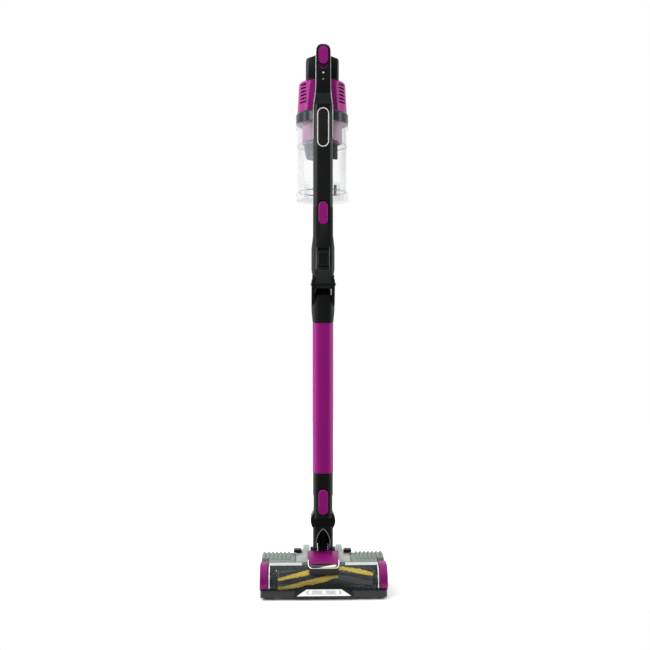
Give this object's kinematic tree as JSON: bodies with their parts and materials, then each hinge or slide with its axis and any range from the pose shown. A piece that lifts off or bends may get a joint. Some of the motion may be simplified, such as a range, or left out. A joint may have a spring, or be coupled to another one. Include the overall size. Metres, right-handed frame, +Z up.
{
  "type": "cordless stick vacuum",
  "caption": "Cordless stick vacuum with a powered brush nozzle, swivelling neck, folding wand and a hand vacuum carrying a clear dust cup and a slide-in battery.",
  "frame": {"origin": "on the floor, under the middle of the object's box, just below the neck's tilt axis", "axes": "+Z up along the wand, -Y forwards out of the nozzle's front, +X to the right seen from the front"},
  "size_m": [0.258, 0.202, 1.133],
  "materials": {
    "magenta": "metallic satin magenta",
    "black": "fine satin black",
    "graphite": "dark grey satin",
    "slate": "slate satin",
    "silver": "silver grey paint",
    "ribbed_grey": "matt green-grey",
    "clear": "clear moulded",
    "smoke": "smoky clear moulded",
    "mauve": "mauve satin",
    "yellow": "dyed bristle",
    "steel": "brushed",
    "motor_alloy": "satin",
    "rubber": "matt",
    "white": "white"
  },
  "bodies": {
    "nozzle": {"nozzle_base": "graphite", "rear_cover": "ribbed_grey", "brush_window": "smoke", "front_bumper": "graphite", "headlight_bezel": "black", "headlight_reflector": "silver", "centre_cover": "silver", "duct_cover": "magenta", "suction_duct": "graphite", "brush_motor": "steel", "drive_belt": "rubber", "rear_axle": "steel", "end_cap_left": "magenta", "end_cap_right": "magenta", "tilt_pin_left": "steel", "tilt_pin_right": "steel", "roll_bearing_left": "steel", "roll_bearing_right": "steel", "glide_left": "black", "glide_right": "black"},
    "cover_latch_left": {"cover_latch_left": "black"},
    "cover_latch_right": {"cover_latch_right": "black"},
    "brushroll": {"brushroll_core": "graphite", "brush_fins": "yellow"},
    "motor_pulley": {"motor_pulley": "steel"},
    "wheel_left": {"wheel_left": "rubber"},
    "wheel_right": {"wheel_right": "rubber"},
    "neck": {"neck_yoke": "graphite", "neck_hose": "rubber"},
    "wand": {"wand_socket": "black", "wand_collar": "black", "wand_tube": "magenta", "lower_knuckle": "black", "fold_pin": "steel", "fold_hose": "rubber"},
    "nozzle_release_button": {"nozzle_release_button": "magenta"},
    "hand_vac": {"fold_sleeve": "black", "spine_tube": "black", "badge_plate": "silver", "handle_front": "black", "handle_rear": "graphite", "motor_housing": "magenta", "motor_can": "motor_alloy", "premotor_filter": "white", "cup_ring": "slate", "battery_dock": "black", "dust_cup": "clear", "cyclone_shroud": "mauve", "cyclone_skirt": "slate", "inlet_elbow": "black", "lid_pin": "steel"},
    "fold_slider": {"fold_slider": "black"},
    "wand_release_button": {"wand_release_button": "magenta"},
    "power_button": {"power_button": "magenta"},
    "boost_trigger": {"boost_trigger": "black"},
    "impeller": {"impeller": "motor_alloy"},
    "battery": {"battery_pack": "black"},
    "battery_latch": {"battery_latch": "graphite"},
    "cup_lid": {"cup_lid": "clear"},
    "lid_latch": {"lid_latch": "black"}
  },
  "joints": [
    {"name": "neck_tilt", "type": "hinge", "parent": "nozzle", "child": "neck", "pos_m": [0, 0, 0.072], "axis": [-1, 0, 0], "range_deg": [0, 80], "deforming": ["neck_hose"]},
    {"name": "neck_swivel", "type": "hinge", "parent": "neck", "child": "wand", "pos_m": [0, -0.018, 0.145], "axis": [0, 1, 0], "range_deg": [-40, 40]},
    {"name": "wand_fold", "type": "hinge", "parent": "wand", "child": "hand_vac", "pos_m": [0, -0.042, 0.6365], "axis": [1, 0, 0], "range_deg": [0, 165], "deforming": ["fold_hose"]},
    {"name": "brushroll_spin", "type": "hinge", "parent": "nozzle", "child": "brushroll", "pos_m": [0, -0.065, 0.0333], "axis": [1, 0, 0], "continuous": true},
    {"name": "motor_pulley_spin", "type": "hinge", "parent": "nozzle", "child": "motor_pulley", "pos_m": [0, -0.003, 0.027], "axis": [1, 0, 0], "continuous": true},
    {"name": "wheel_left_spin", "type": "hinge", "parent": "nozzle", "child": "wheel_left", "pos_m": [-0.092, 0.026, 0.011], "axis": [1, 0, 0], "continuous": true},
    {"name": "wheel_right_spin", "type": "hinge", "parent": "nozzle", "child": "wheel_right", "pos_m": [0.092, 0.026, 0.011], "axis": [1, 0, 0], "continuous": true},
    {"name": "cover_latch_left_slide", "type": "slide", "parent": "nozzle", "child": "cover_latch_left", "axis": [0, 1, 0], "range_m": [0, 0.004], "stiffness_N_per_m": 400},
    {"name": "cover_latch_right_slide", "type": "slide", "parent": "nozzle", "child": "cover_latch_right", "axis": [0, 1, 0], "range_m": [0, 0.004], "stiffness_N_per_m": 400},
    {"name": "nozzle_release_press", "type": "slide", "parent": "wand", "child": "nozzle_release_button", "axis": [0, 1, 0], "range_m": [0, 0.0025], "stiffness_N_per_m": 400},
    {"name": "fold_slider_slide", "type": "slide", "parent": "hand_vac", "child": "fold_slider", "axis": [0, 0, 1], "range_m": [0, 0.005], "stiffness_N_per_m": 400},
    {"name": "wand_release_press", "type": "slide", "parent": "hand_vac", "child": "wand_release_button", "axis": [0, 1, 0], "range_m": [0, 0.0025], "stiffness_N_per_m": 400},
    {"name": "power_button_press", "type": "slide", "parent": "hand_vac", "child": "power_button", "axis": [0, 1, 0], "range_m": [0, 0.002], "stiffness_N_per_m": 400},
    {"name": "boost_trigger_pull", "type": "hinge", "parent": "hand_vac", "child": "boost_trigger", "pos_m": [0, -0.03, 1.0965], "axis": [-1, 0, 0], "range_deg": [0, 7], "stiffness_Nm_per_rad": 0.5},
    {"name": "impeller_spin", "type": "hinge", "parent": "hand_vac", "child": "impeller", "pos_m": [0, 0.0445, 1.012], "axis": [0, 0, 1], "continuous": true},
    {"name": "battery_slide", "type": "slide", "parent": "hand_vac", "child": "battery", "axis": [0, 0, 1], "range_m": [0, 0.07]},
    {"name": "battery_latch_press", "type": "slide", "parent": "battery", "child": "battery_latch", "axis": [0, -1, 0], "range_m": [0, 0.0015], "stiffness_N_per_m": 400},
    {"name": "cup_lid_open", "type": "hinge", "parent": "hand_vac", "child": "cup_lid", "pos_m": [0, 0.0991, 0.843], "axis": [1, 0, 0], "range_deg": [0, 95]},
    {"name": "lid_latch_slide", "type": "slide", "parent": "hand_vac", "child": "lid_latch", "axis": [0, 0, 1], "range_m": [0, 0.004], "stiffness_N_per_m": 400}
  ],
  "couplings": [
    {"joint": "motor_pulley_spin", "follows": "brushroll_spin", "ratio": 2}
  ]
}
